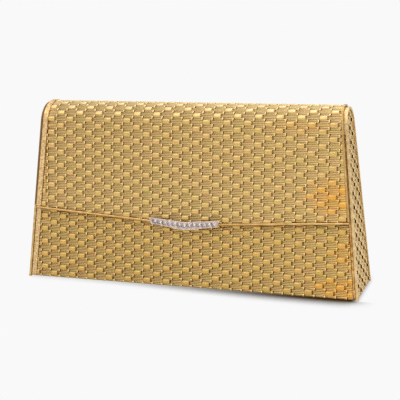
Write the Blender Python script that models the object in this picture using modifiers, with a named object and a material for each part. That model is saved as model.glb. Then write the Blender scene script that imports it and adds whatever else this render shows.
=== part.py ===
# Rigid evening clutch of woven gold wire: a wedge body framed by polished rims, and a flap that
# rolls over the top from a knuckle hinge at the back to a chevron rail with a stone-set thumbpiece.
# Metres, +Z up. X is the width, -Y the front, and the origin is the middle of the base.
import math

import bmesh
import bpy
from mathutils import Matrix, Vector

# Outer form
BODY_WIDTH = 0.1921           # across the foot of the gussets
TOP_WIDTH = 0.1739            # across the top of the gussets
BASE_DEPTH = 0.0398
BAG_HEIGHT = 0.1006
CROWN_RADIUS = 0.0116         # outside of the flap where it rolls over the top
FLAP_PROUD = 0.0012           # the flap stands this far outside the body's rims

# Weave: raised bricks by turns in columns and rows, as the main relief of the woven sheets
WEAVE_COLUMN = 0.005785       # from one column of bricks to the next
WEAVE_ROW = 0.003755          # from one row of bricks to the next
WEAVE_RELIEF = 0.0005         # how far the bricks stand above the wires between them

# Clearances
SEAM = 0.0003                 # between pieces soldered or glued side by side
FLAP_SIDE_GAP = 0.0008        # between the flap's ends and the gusset rims
CUT_OVERRUN = 0.001           # how far a cutter runs past what it cuts
WELD = 0.00001                # vertices closer than this are one

# Body
PANEL_RECESS = 0.0008         # woven panels lie this far inside the rims
PANEL_THICKNESS = 0.0012
BORDER_RECESS = 0.0005
LEFT_BORDER = 0.0028          # plain strips beside the weave, wider on the left
RIGHT_BORDER = 0.0010
RIM_WIDTH = 0.0012
RIM_DEPTH = 0.0013
LEDGE_WIDTH = 0.0024          # the rims turn in this far under the flap's ends
LEDGE_RECESS = 0.0003
LEDGE_THICKNESS = 0.0008
GUSSET_RECESS = 0.0002
GUSSET_THICKNESS = 0.0010
BASE_EDGE_RADIUS = 0.0014     # long bottom edges, outside
LIP_HEIGHT = 0.0032           # how far the base sheet turns up each face
MOUTH_DROP = 0.0066           # from the top of the flat face down to the top of the front panel
MOUTH_RIM_HEIGHT = 0.0020
MOUTH_RIM_DEPTH = 0.0019
LINING_THICKNESS = 0.0005
LINING_ROUNDING = 0.0008

# Flap
FLAP_SHEET_RECESS = 0.0001    # the weave lies this far inside the flap's borders
FLAP_THICKNESS = 0.0010
FLAP_LINING_THICKNESS = 0.0004
FLAP_LINING_MARGIN = 0.0030
RAIL_END_STATION = 0.0399     # lower edge of the chevron rail at the flap's ends
RAIL_MIDDLE_STATION = 0.0343  # and on the centre line
RAIL_HEIGHT = 0.0014
RAIL_THICKNESS = 0.0018
RAIL_PROUD = 0.0002           # beyond the flap's outside
RAIL_ROUNDING = 0.00045

# Knuckle hinge
HINGE_RISE = 0.0020           # the pin above the middle of the crown
KNUCKLE_RADIUS = 0.0015
KNUCKLE_COUNT = 11
KNUCKLE_GAP = 0.0003
PIN_RADIUS = 0.0005
PIN_CLEARANCE = 0.0003
PIN_HEAD_RADIUS = 0.0012
PIN_HEAD_LENGTH = 0.0008
HINGE_END_GAP = 0.0006
LEAF_HEIGHT = 0.0060
LEAF_THICKNESS = 0.0010
NOTCH_CLEARANCE = 0.0004

# Thumbpiece and stones
SETTING_LENGTH = 0.0412
SETTING_END_SLANT = 0.0016
SETTING_TOP_STATION = 0.0370  # upper edge on the centre line
SETTING_TOP_RISE = 0.0016     # the upper edge rises this much to each end
SETTING_MIDDLE_HEIGHT = 0.0045
SETTING_END_HEIGHT = 0.0035
SETTING_THICKNESS = 0.0016
SETTING_ROUNDING = 0.00025
STONE_COUNT = 13
STONE_END_MARGIN = 0.00356    # from an end stone's centre to the end of the bar
STONE_GAP = 0.00034           # between two stones
STONE_ROW_DROP = 0.0020       # from the upper edge to the stones' centres on the centre line
STONE_ROW_RISE = 0.00165      # the row rises this much to its end stones
STONE_CROWN = 0.00040
STONE_GIRDLE = 0.00008
STONE_PAVILION = 0.00100
STONE_STAND = 0.00028         # girdle below the setting's front
SEAT_CLEARANCE = 0.00006
TABLE_SHARE = 0.56            # of the stone's radius

# Snap catch behind the thumbpiece
TONGUE_STATION = 0.0351
TONGUE_WIDTH = 0.0090
TONGUE_THICKNESS = 0.0008
TONGUE_REACH = 0.0052
SLOT_CLEARANCE = 0.0005
CASE_WIDTH = 0.0150
CASE_WALL = 0.0006
CASE_DEPTH = 0.0046
CASE_BELOW = 0.0066           # from the tongue's root down to the case's floor
CASE_ABOVE = 0.0022
SPRING_WIDTH = 0.0060
SPRING_GAUGE = 0.0003
SPRING_GAP = 0.0003           # between the spring's crest and the tongue
CREST_SHARE = 0.72            # how far along the tongue the crest lies

ARC_STEPS = 14                # facets round the crown
ROUND_SIDES = 16

# Sizes worked out from those above
BODY_CROWN_RADIUS = CROWN_RADIUS - FLAP_PROUD
CROWN_HEIGHT = BAG_HEIGHT - CROWN_RADIUS
FOOT_TO_CROWN = math.hypot(BASE_DEPTH / 2, CROWN_HEIGHT)
LEAN = math.pi / 2 - math.atan2(CROWN_HEIGHT, BASE_DEPTH / 2) - math.asin(BODY_CROWN_RADIUS / FOOT_TO_CROWN)
FACE_LENGTH = math.sqrt(FOOT_TO_CROWN ** 2 - BODY_CROWN_RADIUS ** 2)
CROWN_LENGTH = (math.pi - 2 * LEAN) * BODY_CROWN_RADIUS
PROFILE_LENGTH = 2 * FACE_LENGTH + CROWN_LENGTH
SIDE_TAPER = (BODY_WIDTH - TOP_WIDTH) / 2 / BAG_HEIGHT
FLAP_OUTSIDE = -FLAP_PROUD
FLAP_INSIDE = FLAP_OUTSIDE + FLAP_THICKNESS
RAIL_OUTSIDE = FLAP_OUTSIDE - RAIL_PROUD
SETTING_FRONT = RAIL_OUTSIDE - SEAM - SETTING_THICKNESS
MOUTH_STATION = FACE_LENGTH - MOUTH_DROP
HINGE_HEIGHT = CROWN_HEIGHT + HINGE_RISE
HINGE_AXIS = Vector((0, BODY_CROWN_RADIUS, HINGE_HEIGHT))
KNUCKLE_TURN = math.atan2(HINGE_RISE, BODY_CROWN_RADIUS)
STONE_PITCH = (SETTING_LENGTH - 2 * STONE_END_MARGIN) / (STONE_COUNT - 1)
STONE_RADIUS = (STONE_PITCH - STONE_GAP) / 2

WOVEN_GOLD = ((0.72, 0.52, 0.24, 1), 0.34, 1.0)
POLISHED_GOLD = ((0.80, 0.60, 0.30, 1), 0.16, 1.0)
WHITE_GOLD = ((0.78, 0.77, 0.75, 1), 0.18, 1.0)
STONE = ((0.92, 0.94, 0.97, 1), 0.02, 0.0)
SPRING_STEEL = ((0.55, 0.56, 0.58, 1), 0.25, 1.0)
LINING = ((0.16, 0.11, 0.07, 1), 0.75, 0.0)


def make_collection(name):
    collection = bpy.data.collections.new(name)
    bpy.context.scene.collection.children.link(collection)
    return collection


def clear_scene():
    for item in list(bpy.data.objects):
        bpy.data.objects.remove(item, do_unlink=True)


def add_object(name, mesh, collection):
    item = bpy.data.objects.new(name, mesh)
    collection.objects.link(item)
    return item


def give_finish(item, finish):
    colour, roughness, metallic = finish
    material = bpy.data.materials.new(item.name)
    material.use_nodes = True
    shader = material.node_tree.nodes["Principled BSDF"]
    shader.inputs["Base Color"].default_value = colour
    shader.inputs["Roughness"].default_value = roughness
    shader.inputs["Metallic"].default_value = metallic
    item.data.materials.append(material)


def smooth_rounds(item):
    item.data.shade_smooth()
    item.data.set_sharp_from_angle(angle=math.radians(32))


# The body's outer profile as one path: up the front face, over the crown and down the back face.
# A station is a length along that path, and a depth is measured inwards from it.
def skin_point(station, depth):
    if station > PROFILE_LENGTH / 2:
        y, z = skin_point(PROFILE_LENGTH - station, depth)
        return -y, z
    if station <= FACE_LENGTH:
        y = -BASE_DEPTH / 2 + math.sin(LEAN) * station + math.cos(LEAN) * depth
        z = math.cos(LEAN) * station - math.sin(LEAN) * depth
        return y, z
    turn = LEAN + (station - FACE_LENGTH) / BODY_CROWN_RADIUS
    radius = BODY_CROWN_RADIUS - depth
    return -radius * math.cos(turn), CROWN_HEIGHT + radius * math.sin(turn)


def crown_station(turn):
    # station of the crown point that lies at an angle up from the front horizontal
    return FACE_LENGTH + (turn - LEAN) * BODY_CROWN_RADIUS


def spaced(start, end, steps):
    return [start + (end - start) * i / steps for i in range(steps + 1)]


def half_width(z):
    return BODY_WIDTH / 2 - SIDE_TAPER * z


def rim_inside(z):
    return half_width(z) - RIM_WIDTH


def flap_end(z):
    return rim_inside(z) - FLAP_SIDE_GAP


def face_matrix(x, station, depth):
    # frame on the front face: X across, Y up the face, Z out of it
    y, z = skin_point(station, depth)
    across = Vector((1, 0, 0))
    up = Vector((0, math.sin(LEAN), math.cos(LEAN)))
    out = across.cross(up)
    turn = Matrix((across, up, out)).transposed().to_4x4()
    return Matrix.Translation((x, y, z)) @ turn


def thicken(item, thickness):
    solid = item.modifiers.new("thickness", "SOLIDIFY")
    solid.thickness = thickness
    solid.offset = -1
    solid.use_even_offset = True


# A sheet is a grid whose vertices are placed one by one, thickened inwards.
def make_sheet(name, rows, columns, place, thickness, finish, collection):
    mesh = bpy.data.meshes.new(name)
    grid = bmesh.new()
    bmesh.ops.create_grid(grid, x_segments=columns - 1, y_segments=rows - 1, size=0.5)
    for vertex in grid.verts:
        column = round((vertex.co.x + 0.5) * (columns - 1))
        row = round((vertex.co.y + 0.5) * (rows - 1))
        vertex.co = place(row, column)
    grid.normal_update()
    grid.to_mesh(mesh)
    grid.free()
    item = add_object(name, mesh, collection)
    thicken(item, thickness)
    give_finish(item, finish)
    smooth_rounds(item)
    return item


# A plate is a flat outline, filled and extruded, then moved where it belongs.
def make_plate(name, outline, thickness, finish, collection):
    curve = bpy.data.curves.new(name, "CURVE")
    curve.dimensions = "2D"
    curve.fill_mode = "BOTH"
    curve.extrude = thickness / 2
    spline = curve.splines.new("POLY")
    spline.points.add(len(outline) - 1)
    for point, (u, v) in zip(spline.points, outline):
        point.co = (u, v, 0, 1)
    spline.use_cyclic_u = True
    guide = add_object(name + "_outline", curve, collection)
    bpy.context.view_layer.update()
    seen = guide.evaluated_get(bpy.context.evaluated_depsgraph_get())
    mesh = bpy.data.meshes.new_from_object(seen)
    bpy.data.objects.remove(guide, do_unlink=True)
    welded = bmesh.new()
    welded.from_mesh(mesh)
    bmesh.ops.remove_doubles(welded, verts=welded.verts, dist=WELD)
    bmesh.ops.recalc_face_normals(welded, faces=welded.faces)
    welded.to_mesh(mesh)
    welded.free()
    item = add_object(name, mesh, collection)
    give_finish(item, finish)
    return item


def make_box(name, size, finish, collection):
    mesh = bpy.data.meshes.new(name)
    box = bmesh.new()
    bmesh.ops.create_cube(box, size=1)
    bmesh.ops.scale(box, vec=size, verts=box.verts)
    box.to_mesh(mesh)
    box.free()
    item = add_object(name, mesh, collection)
    if finish:
        give_finish(item, finish)
    return item


def make_rods(name, spans, radius, collection):
    # one mesh of cylinders that lie along X on the hinge axis, from span to span
    mesh = bpy.data.meshes.new(name)
    rods = bmesh.new()
    for start, end in spans:
        place = Matrix.Translation(((start + end) / 2, 0, 0)) @ Matrix.Rotation(math.pi / 2, 4, "Y")
        bmesh.ops.create_cone(rods, cap_ends=True, segments=ROUND_SIDES, radius1=radius,
                              radius2=radius, depth=end - start, matrix=place)
    rods.to_mesh(mesh)
    rods.free()
    item = add_object(name, mesh, collection)
    item.location = HINGE_AXIS
    return item


# A turned piece runs down its outer side, from the axis at the top to the axis at the bottom.
def make_turned(name, profile, finish, collection):
    mesh = bpy.data.meshes.new(name)
    turned = bmesh.new()
    points = [turned.verts.new((radius, 0, height)) for radius, height in profile]
    for upper, lower in zip(points, points[1:]):
        turned.edges.new((upper, lower))
    turned.to_mesh(mesh)
    turned.free()
    item = add_object(name, mesh, collection)
    screw = item.modifiers.new("turn", "SCREW")
    screw.steps = ROUND_SIDES
    screw.render_steps = ROUND_SIDES
    screw.use_merge_vertices = True
    screw.merge_threshold = WELD
    give_finish(item, finish)
    return item


def cut(item, cutter, operation="DIFFERENCE"):
    cutter.hide_render = True
    cutter.display_type = "WIRE"
    boolean = item.modifiers.new(cutter.name, "BOOLEAN")
    boolean.operation = operation
    boolean.object = cutter


def round_edges(item, width, segments=2):
    bevel = item.modifiers.new("rounding", "BEVEL")
    bevel.width = width
    bevel.segments = segments
    bevel.limit_method = "ANGLE"
    bevel.angle_limit = math.radians(40)


# A woven sheet is a grid whose inner points rise by turns, closed by walls and a plain inside.
def woven_sheet(name, stations, low_edge, high_edge, depth, thickness, collection, foot=None):
    rows = len(stations) - 1
    columns = max(2, round((high_edge(0) - low_edge(0)) / WEAVE_COLUMN))
    sheet = bmesh.new()
    bmesh.ops.create_grid(sheet, x_segments=columns, y_segments=rows, size=0.5)
    border = [edge for edge in sheet.edges if edge.is_boundary]
    walls = bmesh.ops.extrude_edge_only(sheet, edges=border)["geom"]
    inner = {vertex for vertex in walls if isinstance(vertex, bmesh.types.BMVert)}
    inside = {}
    for vertex in sheet.verts:
        column = round((vertex.co.x + 0.5) * columns)
        row = round((vertex.co.y + 0.5) * rows)
        raised = 0 < row < rows and 0 < column < columns and (row + column) % 2 == 0
        at = depth + thickness if vertex in inner else depth + (0 if raised else WEAVE_RELIEF)
        y, z = skin_point(stations[row], at)
        x = low_edge(z) + (high_edge(z) - low_edge(z)) * column / columns
        if foot and row == 0:
            y, z = skin_point(foot(x, z), at)
        vertex.co = (x, y, z)
        if vertex in inner:
            inside[row, column] = vertex
    for row in range(rows):
        near, far = (sorted(spot for spot in inside if spot[0] == line) for line in (row, row + 1))
        near = near if row == 0 else [near[0], near[-1]]
        far = far if row == rows - 1 else [far[0], far[-1]]
        sheet.faces.new([inside[spot] for spot in near + far[::-1]])
    bmesh.ops.recalc_face_normals(sheet, faces=sheet.faces)
    mesh = bpy.data.meshes.new(name)
    sheet.to_mesh(mesh)
    sheet.free()
    item = add_object(name, mesh, collection)
    give_finish(item, WOVEN_GOLD)
    return item


def weave_stations(start, end):
    return spaced(start, end, max(2, round((end - start) / WEAVE_ROW)))


# Woven panels and the plain strips that flank them
def face_sheet(name, stations, low_edge, high_edge, depth, thickness, finish, collection):
    def place(row, column):
        y, z = skin_point(stations[row], depth)
        x = high_edge(z) if column else low_edge(z)
        return Vector((x, y, z))
    return make_sheet(name, len(stations), 2, place, thickness, finish, collection)


def left_outer(z):
    return -rim_inside(z) + SEAM


def left_inner(z):
    return left_outer(z) + LEFT_BORDER


def right_outer(z):
    return rim_inside(z) - SEAM


def right_inner(z):
    return right_outer(z) - RIGHT_BORDER


def weave_left(z):
    return left_inner(z) + SEAM


def weave_right(z):
    return right_inner(z) - SEAM


def make_face(side, start, end, collection):
    return woven_sheet(side + "_panel", weave_stations(start, end), weave_left, weave_right,
                       PANEL_RECESS, PANEL_THICKNESS, collection)


# The base sheet and the borders turn round both long bottom edges, all flush with the floor.
def edge_turn(depth):
    centre_depth = PANEL_RECESS + BASE_EDGE_RADIUS
    station = (BASE_EDGE_RADIUS + math.sin(LEAN) * centre_depth) / math.cos(LEAN)
    centre_y, centre_z = skin_point(station, centre_depth)
    points = []
    for angle in spaced(math.pi - LEAN, math.pi * 1.5, 5):
        y = centre_y + (centre_depth - depth) * math.cos(angle)
        z = centre_z + BASE_EDGE_RADIUS * math.sin(angle)
        points.append((y, z))
    return points


def wrap_under(name, front_top, back_top, depth, low_edge, high_edge, finish, collection):
    # a strip or sheet down the front, under the base and up the back
    turn = edge_turn(depth)
    profile = [skin_point(front_top, depth)] + turn
    profile += [(-y, z) for y, z in reversed(turn)] + [skin_point(PROFILE_LENGTH - back_top, depth)]

    def place(row, column):
        y, z = profile[row]
        return Vector((low_edge(z) if column else high_edge(z), y, z))
    return make_sheet(name, len(profile), 2, place, PANEL_THICKNESS, finish, collection)


def make_base(back_top, collection):
    wrap_under("base_panel", LIP_HEIGHT, LIP_HEIGHT, PANEL_RECESS, weave_left, weave_right,
               WOVEN_GOLD, collection)
    wrap_under("body_border_left", MOUTH_STATION, back_top, BORDER_RECESS, left_outer, left_inner,
               POLISHED_GOLD, collection)
    wrap_under("body_border_right", MOUTH_STATION, back_top, BORDER_RECESS, right_inner, right_outer,
               POLISHED_GOLD, collection)


# Gussets and their rims share one profile and lean in with the taper.
def profile_outline(depth, foot):
    crown = spaced(FACE_LENGTH, PROFILE_LENGTH / 2, ARC_STEPS // 2)
    front = [skin_point(foot, depth)] + [skin_point(station, depth) for station in crown]
    return front + [(-y, z) for y, z in reversed(front[:-1])]


def lean_plate(name, outline, inset, thickness, side, finish, collection):
    item = make_plate(name, outline, thickness, finish, collection)
    for vertex in item.data.vertices:
        y, z, off = vertex.co
        x = half_width(z) - inset - thickness / 2 + off
        vertex.co = (side * x, y, z)
    if side < 0:
        item.data.flip_normals()
    return item


def foot_station(depth, height):
    # station at which a line at this depth crosses a height above the floor
    return (height + math.sin(LEAN) * depth) / math.cos(LEAN)


def make_ledge(name, side, cutters):
    # the crown ledge runs from the mouth rim to just above the hinge and bars the view past the flap
    start = MOUTH_STATION + 2 * SEAM + MOUTH_RIM_HEIGHT
    above_knuckle = math.asin((KNUCKLE_RADIUS + NOTCH_CLEARANCE) / BODY_CROWN_RADIUS)
    end = crown_station(math.pi - KNUCKLE_TURN - above_knuckle) - LEDGE_WIDTH

    def inner_edge(z):
        return side * (rim_inside(z) - LEDGE_WIDTH)

    def outer_edge(z):
        return side * (rim_inside(z) + RIM_WIDTH / 2)
    low, high = (inner_edge, outer_edge) if side > 0 else (outer_edge, inner_edge)
    stations = [start] + spaced(FACE_LENGTH, end, ARC_STEPS)
    return face_sheet(name, stations, low, high, LEDGE_RECESS, LEDGE_THICKNESS, POLISHED_GOLD, cutters)


def make_gusset(word, side, collection, cutters):
    outer = profile_outline(0, 0)
    inner = profile_outline(RIM_DEPTH, foot_station(RIM_DEPTH, 0))
    ring = outer + inner[::-1]
    rim = lean_plate("gusset_rim_" + word, ring, 0, RIM_WIDTH, side, POLISHED_GOLD, collection)
    cut(rim, make_ledge("gusset_ledge_" + word, side, cutters), "UNION")
    depth = RIM_DEPTH + SEAM
    filling = profile_outline(depth, foot_station(depth, 0))
    lean_plate("gusset_" + word, filling, GUSSET_RECESS, GUSSET_THICKNESS, side, WOVEN_GOLD, collection)


def make_mouth_rim(collection):
    def low(z):
        return left_outer(z)

    def high(z):
        return right_outer(z)
    start = MOUTH_STATION + SEAM
    rim = face_sheet("mouth_rim", [start, start + MOUTH_RIM_HEIGHT], low, high, PANEL_RECESS,
                     MOUTH_RIM_DEPTH, POLISHED_GOLD, collection)
    round_edges(rim, RAIL_ROUNDING)


def make_lining(collection):
    # an open-topped tray whose walls follow the faces and the gussets
    depth = PANEL_RECESS + PANEL_THICKNESS + SEAM
    floor = PANEL_THICKNESS + SEAM
    top_y, top_z = skin_point(MOUTH_STATION - SEAM, depth)
    foot_y, foot_z = skin_point(foot_station(depth, floor), depth)
    mesh = bpy.data.meshes.new("body_lining")
    tray = bmesh.new()
    bmesh.ops.create_cube(tray, size=1)
    for vertex in tray.verts:
        z = top_z if vertex.co.z > 0 else foot_z
        y = top_y if vertex.co.z > 0 else foot_y
        x = half_width(z) - GUSSET_RECESS - GUSSET_THICKNESS - SEAM
        x = min(x, rim_inside(z) - SEAM)
        vertex.co = (math.copysign(x, vertex.co.x), math.copysign(y, vertex.co.y), z)
    lid = max(tray.faces, key=lambda face: face.calc_center_median().z)
    bmesh.ops.delete(tray, geom=[lid], context="FACES_ONLY")
    tray.to_mesh(mesh)
    tray.free()
    item = add_object("body_lining", mesh, collection)
    round_edges(item, LINING_ROUNDING)
    thicken(item, LINING_THICKNESS)
    give_finish(item, LINING)
    return item


# Knuckle hinge at the top of the back: knuckles are counted from the left end.
def hinge_half():
    return flap_end(HINGE_HEIGHT) - HINGE_END_GAP - PIN_HEAD_LENGTH


def knuckle_spans(first, grow):
    pitch = 2 * hinge_half() / KNUCKLE_COUNT
    spans = []
    for i in range(first, KNUCKLE_COUNT, 2):
        start = -hinge_half() + i * pitch
        spans.append((start - grow, start + pitch + grow))
    return spans


def make_leaf(name, stations, depth, first, collection, cutters):
    def low(z):
        return -hinge_half()

    def high(z):
        return hinge_half()
    leaf = face_sheet(name, stations, low, high, depth, LEAF_THICKNESS, POLISHED_GOLD, collection)
    barrel = make_rods(name + "_barrel", [(-hinge_half(), hinge_half())], KNUCKLE_RADIUS, cutters)
    cut(leaf, barrel, "UNION")
    others = knuckle_spans(1 - first, KNUCKLE_GAP)
    notches = make_rods(name + "_notches", others, KNUCKLE_RADIUS + NOTCH_CLEARANCE, cutters)
    cut(leaf, notches)
    whole = hinge_half() + CUT_OVERRUN
    bore = make_rods(name + "_bore", [(-whole, whole)], PIN_RADIUS + PIN_CLEARANCE, cutters)
    cut(leaf, bore)
    return leaf


def make_hinge(collection, cutters):
    # the body's leaf hangs down the back face from the barrel, the flap's leaf climbs the crown
    barrel_foot = crown_station(math.pi - KNUCKLE_TURN)
    back_face_top = PROFILE_LENGTH - FACE_LENGTH
    body_stations = [barrel_foot, back_face_top, barrel_foot + LEAF_HEIGHT]
    make_leaf("body_hinge_leaf", body_stations, 0, 0, collection, cutters)
    flap_stations = spaced(flap_leaf_top(), barrel_foot, 4)
    make_leaf("flap_hinge_leaf", flap_stations, FLAP_OUTSIDE, 1, collection, cutters)
    reach = hinge_half() + SEAM
    end = reach + PIN_HEAD_LENGTH
    profile = [(0, end), (PIN_HEAD_RADIUS, end), (PIN_HEAD_RADIUS, reach), (PIN_RADIUS, reach),
               (PIN_RADIUS, -reach), (PIN_HEAD_RADIUS, -reach), (PIN_HEAD_RADIUS, -end), (0, -end)]
    pin = make_turned("hinge_pin", profile, POLISHED_GOLD, collection)
    pin.matrix_world = Matrix.Translation(HINGE_AXIS) @ Matrix.Rotation(math.pi / 2, 4, "Y")


def flap_leaf_top():
    return crown_station(math.pi - KNUCKLE_TURN) - LEAF_HEIGHT


# Lower edge of the flap: a shallow chevron, straight from each end to the centre line
def chevron_station(x, z):
    share = abs(x) / flap_end(z)
    return RAIL_MIDDLE_STATION + (RAIL_END_STATION - RAIL_MIDDLE_STATION) * share


def flap_stations(start, end):
    crown = spaced(FACE_LENGTH, end, ARC_STEPS)
    return [start] + crown


def flap_foot(lift):
    # the flap's sheets begin above the rail, which runs lower towards the centre line
    def station(x, z):
        return chevron_station(x, z) + RAIL_HEIGHT + lift
    return station


def make_wrap(name, low_edge, high_edge, split, end, depth, thickness, lift, finish, collection):
    # a sheet from above the chevron rail, up the front and over the crown
    stations = flap_stations(RAIL_END_STATION, end)
    columns = 3 if split else 2

    def place(row, column):
        y, z = skin_point(stations[row], depth)
        edges = (low_edge(z), 0, high_edge(z)) if split else (low_edge(z), high_edge(z))
        x = edges[column]
        if row == 0:
            y, z = skin_point(flap_foot(lift)(x, z), depth)
        return Vector((x, y, z))
    return make_sheet(name, len(stations), columns, place, thickness, finish, collection)


def flap_left_inner(z):
    return -flap_end(z) + LEFT_BORDER


def flap_right_inner(z):
    return flap_end(z) - RIGHT_BORDER


def make_flap(collection):
    end = flap_leaf_top() - SEAM

    def weave_low(z):
        return flap_left_inner(z) + SEAM

    def weave_high(z):
        return flap_right_inner(z) - SEAM

    def left_end(z):
        return -flap_end(z)

    def lining_low(z):
        return -flap_end(z) + FLAP_LINING_MARGIN

    def lining_high(z):
        return flap_end(z) - FLAP_LINING_MARGIN
    foot = RAIL_END_STATION + RAIL_HEIGHT + SEAM
    stations = weave_stations(foot, FACE_LENGTH) + weave_stations(FACE_LENGTH, end)[1:]
    woven_sheet("flap_panel", stations, weave_low, weave_high, FLAP_OUTSIDE + FLAP_SHEET_RECESS,
                FLAP_THICKNESS - FLAP_SHEET_RECESS, collection, flap_foot(SEAM))
    make_wrap("flap_border_left", left_end, flap_left_inner, False, end, FLAP_OUTSIDE,
              FLAP_THICKNESS, SEAM, POLISHED_GOLD, collection)
    make_wrap("flap_border_right", flap_right_inner, flap_end, False, end, FLAP_OUTSIDE,
              FLAP_THICKNESS, SEAM, POLISHED_GOLD, collection)
    make_wrap("flap_lining", lining_low, lining_high, True, end, FLAP_INSIDE + SEAM,
              FLAP_LINING_THICKNESS, FLAP_LINING_MARGIN, LINING, collection)


def make_rail(collection):
    y, z = skin_point(RAIL_END_STATION, FLAP_OUTSIDE)
    end = flap_end(z)
    low = [(-end, RAIL_END_STATION), (0, RAIL_MIDDLE_STATION), (end, RAIL_END_STATION)]
    high = [(u, v + RAIL_HEIGHT) for u, v in reversed(low)]
    rail = make_plate("flap_rail", low + high, RAIL_THICKNESS, POLISHED_GOLD, collection)
    rail.matrix_world = face_matrix(0, 0, RAIL_OUTSIDE + RAIL_THICKNESS / 2)
    round_edges(rail, RAIL_ROUNDING)
    smooth_rounds(rail)


# Thumbpiece: a white-metal bar with a row of stones in seats drilled from the front
def setting_outline():
    half = SETTING_LENGTH / 2
    top = SETTING_TOP_STATION
    corner = top + SETTING_TOP_RISE
    foot = corner - SETTING_END_HEIGHT
    reach = half - SETTING_END_SLANT
    upper = [(half, corner), (0, top), (-half, corner)]
    lower = [(-reach, foot), (0, top - SETTING_MIDDLE_HEIGHT), (reach, foot)]
    return upper + lower


def stone_place(index):
    offset = index - (STONE_COUNT - 1) / 2
    rise = STONE_ROW_RISE * abs(offset) / ((STONE_COUNT - 1) / 2)
    return offset * STONE_PITCH, SETTING_TOP_STATION - STONE_ROW_DROP + rise


def make_thumbpiece(collection, cutters):
    setting = make_plate("thumbpiece_setting", setting_outline(), SETTING_THICKNESS, WHITE_GOLD, collection)
    setting.matrix_world = face_matrix(0, 0, SETTING_FRONT + SETTING_THICKNESS / 2)
    round_edges(setting, SETTING_ROUNDING)
    seats_mesh = bpy.data.meshes.new("stone_seats")
    seats = bmesh.new()
    depth = STONE_STAND + STONE_GIRDLE
    for index in range(STONE_COUNT):
        x, station = stone_place(index)
        bore = STONE_RADIUS + SEAT_CLEARANCE
        place = Matrix.Translation((x, station, -(depth - CUT_OVERRUN) / 2))
        bmesh.ops.create_cone(seats, cap_ends=True, segments=ROUND_SIDES, radius1=bore, radius2=bore,
                              depth=depth + CUT_OVERRUN, matrix=place)
    seats.to_mesh(seats_mesh)
    seats.free()
    cutter = add_object("stone_seats", seats_mesh, cutters)
    cutter.matrix_world = face_matrix(0, 0, SETTING_FRONT)
    cut(setting, cutter)
    cone_mesh = bpy.data.meshes.new("stone_hollows")
    cones = bmesh.new()
    hollow = STONE_PAVILION + SEAT_CLEARANCE
    for index in range(STONE_COUNT):
        x, station = stone_place(index)
        place = Matrix.Translation((x, station, -depth - hollow / 2 + WELD))
        bmesh.ops.create_cone(cones, cap_ends=True, segments=ROUND_SIDES, radius1=SEAT_CLEARANCE,
                              radius2=STONE_RADIUS - SEAT_CLEARANCE, depth=hollow, matrix=place)
    cones.to_mesh(cone_mesh)
    cones.free()
    hollows = add_object("stone_hollows", cone_mesh, cutters)
    hollows.matrix_world = face_matrix(0, 0, SETTING_FRONT)
    cut(setting, hollows)
    make_stones(collection)


def make_stones(collection):
    rest = SEAT_CLEARANCE
    profile = [(0, STONE_CROWN), (STONE_RADIUS * TABLE_SHARE, STONE_CROWN), (STONE_RADIUS, 0),
               (STONE_RADIUS, -STONE_GIRDLE + rest),
               (STONE_RADIUS - 3 * SEAT_CLEARANCE, -STONE_GIRDLE),
               (0, -STONE_GIRDLE - STONE_PAVILION + 3 * SEAT_CLEARANCE)]
    for index in range(STONE_COUNT):
        x, station = stone_place(index)
        stone = make_turned("stone_%02d" % (index + 1), profile, STONE, collection)
        stone.matrix_world = face_matrix(x, station, SETTING_FRONT + STONE_STAND)


# Snap catch: the tongue follows the circle it swings on, so it leaves its slot without touching
def swing_matrix(depth):
    y, z = skin_point(TONGUE_STATION, depth)
    arm = Vector((0, y, z)) - HINGE_AXIS
    out = Vector((0, arm.z, -arm.y)).normalized()
    across = Vector((1, 0, 0))
    up = out.cross(across)
    turn = Matrix((across, up, out)).transposed().to_4x4()
    return Matrix.Translation((0, y, z)) @ turn


def make_catch(panel, lining, collection, cutters):
    root = swing_matrix(RAIL_OUTSIDE + RAIL_THICKNESS + SEAM)
    place = root @ Matrix.Translation((0, 0, -TONGUE_REACH / 2))
    size = (TONGUE_WIDTH, TONGUE_THICKNESS, TONGUE_REACH)
    tongue = make_box("catch_tongue", size, SPRING_STEEL, collection)
    tongue.matrix_world = place
    round_edges(tongue, SPRING_GAUGE / 2)
    grow = 2 * SLOT_CLEARANCE
    opening = (TONGUE_WIDTH + grow, TONGUE_THICKNESS + grow, 2 * TONGUE_REACH)
    slot = make_box("tongue_slot", opening, None, cutters)
    slot.matrix_world = place
    cut(panel, slot)
    make_case(lining, collection, cutters)


def make_case(lining, collection, cutters):
    back = PANEL_RECESS + PANEL_THICKNESS + SEAM
    height = CASE_BELOW + CASE_ABOVE
    middle = TONGUE_STATION + (CASE_ABOVE - CASE_BELOW) / 2
    place = face_matrix(0, middle, back + CASE_DEPTH / 2)
    case = make_box("lock_case", (CASE_WIDTH, height, CASE_DEPTH), POLISHED_GOLD, collection)
    case.matrix_world = place
    wall = 2 * CASE_WALL
    hollow = make_box("lock_hollow", (CASE_WIDTH - wall, height - wall, CASE_DEPTH), None, cutters)
    hollow.matrix_world = place @ Matrix.Translation((0, 0, CASE_WALL))
    cut(case, hollow)
    gap = 2 * SEAM
    window = make_box("lining_window", (CASE_WIDTH + gap, height + gap, CASE_DEPTH + gap), None, cutters)
    window.matrix_world = place
    cut(lining, window)
    make_spring(middle - height / 2 + CASE_WALL, back, collection)


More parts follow.
